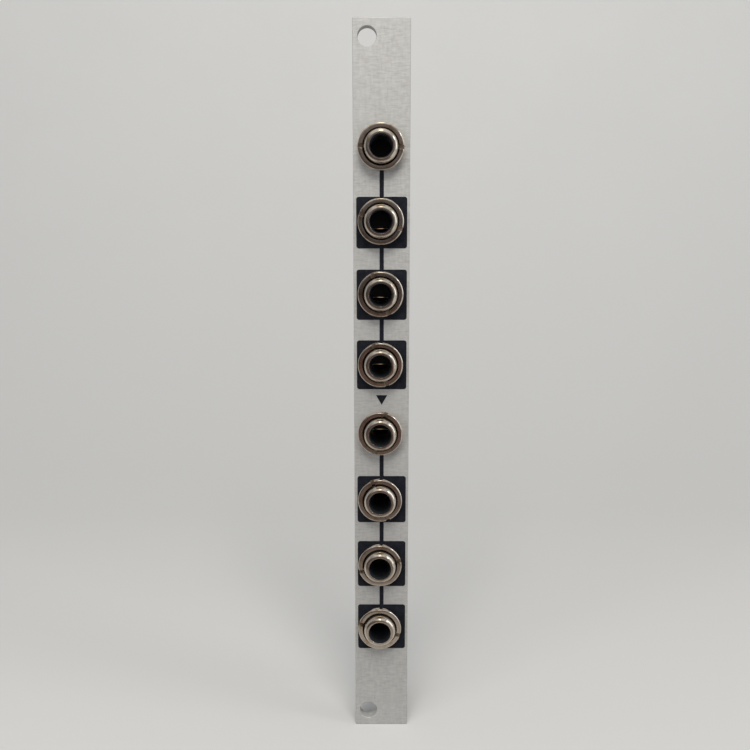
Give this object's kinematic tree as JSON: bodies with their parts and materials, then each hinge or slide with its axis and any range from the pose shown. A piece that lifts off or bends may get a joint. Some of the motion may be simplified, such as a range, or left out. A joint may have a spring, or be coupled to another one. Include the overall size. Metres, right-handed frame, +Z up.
{
  "type": "rack audio module",
  "caption": "Slim upright rack panel with a column of 3.5 mm jack sockets in two linked groups, wired as a passive patch multiple on a rear circuit board.",
  "frame": {"origin": "on the panel's back face, on its centre line, level with the lower rail screws", "axes": "+Z up, +Y out of the panel's back into the rack, +X to the right seen from the front"},
  "size_m": [0.0098, 0.0182, 0.1285],
  "materials": {
    "panel": "fine horizontal brushing, clear anodised",
    "nickel": "nickel plate, shiny and slightly warm",
    "housing_plastic": "black moulded plastic, satin",
    "tinned_contact": "tinned sheet contact, satin",
    "spring_bronze": "phosphor bronze spring sheet, copper-coloured",
    "board": "glass-fibre laminate under a dark solder mask",
    "print_ink": "screen-printed ink, near black, satin",
    "solder": "tin solder and tinned pads, shiny"
  },
  "bodies": {
    "module": {"front_panel": "panel", "circuit_board": "board", "jack_1_nut": "nickel", "jack_1_bushing": "nickel", "jack_1_housing": "housing_plastic", "jack_1_sleeve_lug": "nickel", "jack_1_tip_lug": "tinned_contact", "jack_1_switch_contact": "tinned_contact", "jack_2_nut": "nickel", "jack_2_bushing": "nickel", "jack_2_housing": "housing_plastic", "jack_2_sleeve_lug": "nickel", "jack_2_tip_lug": "tinned_contact", "jack_2_switch_contact": "tinned_contact", "jack_3_nut": "nickel", "jack_3_bushing": "nickel", "jack_3_housing": "housing_plastic", "jack_3_sleeve_lug": "nickel", "jack_3_tip_lug": "tinned_contact", "jack_3_switch_contact": "tinned_contact", "jack_4_nut": "nickel", "jack_4_bushing": "nickel", "jack_4_housing": "housing_plastic", "jack_4_sleeve_lug": "nickel", "jack_4_tip_lug": "tinned_contact", "jack_4_switch_contact": "tinned_contact", "jack_5_nut": "nickel", "jack_5_bushing": "nickel", "jack_5_housing": "housing_plastic", "jack_5_sleeve_lug": "nickel", "jack_5_tip_lug": "tinned_contact", "jack_5_switch_contact": "tinned_contact", "jack_6_nut": "nickel", "jack_6_bushing": "nickel", "jack_6_housing": "housing_plastic", "jack_6_sleeve_lug": "nickel", "jack_6_tip_lug": "tinned_contact", "jack_6_switch_contact": "tinned_contact", "jack_7_nut": "nickel", "jack_7_bushing": "nickel", "jack_7_housing": "housing_plastic", "jack_7_sleeve_lug": "nickel", "jack_7_tip_lug": "tinned_contact", "jack_7_switch_contact": "tinned_contact", "jack_8_nut": "nickel", "jack_8_bushing": "nickel", "jack_8_housing": "housing_plastic", "jack_8_sleeve_lug": "nickel", "jack_8_tip_lug": "tinned_contact", "jack_8_switch_contact": "tinned_contact"},
    "spring_1": {"jack_1_tip_spring": "spring_bronze"},
    "spring_2": {"jack_2_tip_spring": "spring_bronze"},
    "spring_3": {"jack_3_tip_spring": "spring_bronze"},
    "spring_4": {"jack_4_tip_spring": "spring_bronze"},
    "spring_5": {"jack_5_tip_spring": "spring_bronze"},
    "spring_6": {"jack_6_tip_spring": "spring_bronze"},
    "spring_7": {"jack_7_tip_spring": "spring_bronze"},
    "spring_8": {"jack_8_tip_spring": "spring_bronze"}
  },
  "joints": [
    {"name": "tip_spring_1_bend", "type": "hinge", "parent": "module", "child": "spring_1", "pos_m": [-0.0001, 0.0088, 0.10028], "axis": [1, 0, 0], "range_deg": [0, 12], "stiffness_Nm_per_rad": 0.03, "springref_deg": -2.86},
    {"name": "tip_spring_2_bend", "type": "hinge", "parent": "module", "child": "spring_2", "pos_m": [-0.00013, 0.0088, 0.08783], "axis": [1, 0, 0], "range_deg": [0, 12], "stiffness_Nm_per_rad": 0.03, "springref_deg": -2.86},
    {"name": "tip_spring_3_bend", "type": "hinge", "parent": "module", "child": "spring_3", "pos_m": [-0.00016, 0.0088, 0.07537], "axis": [1, 0, 0], "range_deg": [0, 12], "stiffness_Nm_per_rad": 0.03, "springref_deg": -2.86},
    {"name": "tip_spring_4_bend", "type": "hinge", "parent": "module", "child": "spring_4", "pos_m": [-0.00019, 0.0088, 0.06292], "axis": [1, 0, 0], "range_deg": [0, 12], "stiffness_Nm_per_rad": 0.03, "springref_deg": -2.86},
    {"name": "tip_spring_5_bend", "type": "hinge", "parent": "module", "child": "spring_5", "pos_m": [-0.00023, 0.0088, 0.05047], "axis": [1, 0, 0], "range_deg": [0, 12], "stiffness_Nm_per_rad": 0.03, "springref_deg": -2.86},
    {"name": "tip_spring_6_bend", "type": "hinge", "parent": "module", "child": "spring_6", "pos_m": [-0.00026, 0.0088, 0.03803], "axis": [1, 0, 0], "range_deg": [0, 12], "stiffness_Nm_per_rad": 0.03, "springref_deg": -2.86},
    {"name": "tip_spring_7_bend", "type": "hinge", "parent": "module", "child": "spring_7", "pos_m": [-0.00029, 0.0088, 0.02558], "axis": [1, 0, 0], "range_deg": [0, 12], "stiffness_Nm_per_rad": 0.03, "springref_deg": -2.86},
    {"name": "tip_spring_8_bend", "type": "hinge", "parent": "module", "child": "spring_8", "pos_m": [-0.00032, 0.0088, 0.01312], "axis": [1, 0, 0], "range_deg": [0, 12], "stiffness_Nm_per_rad": 0.03, "springref_deg": -2.86}
  ]
}
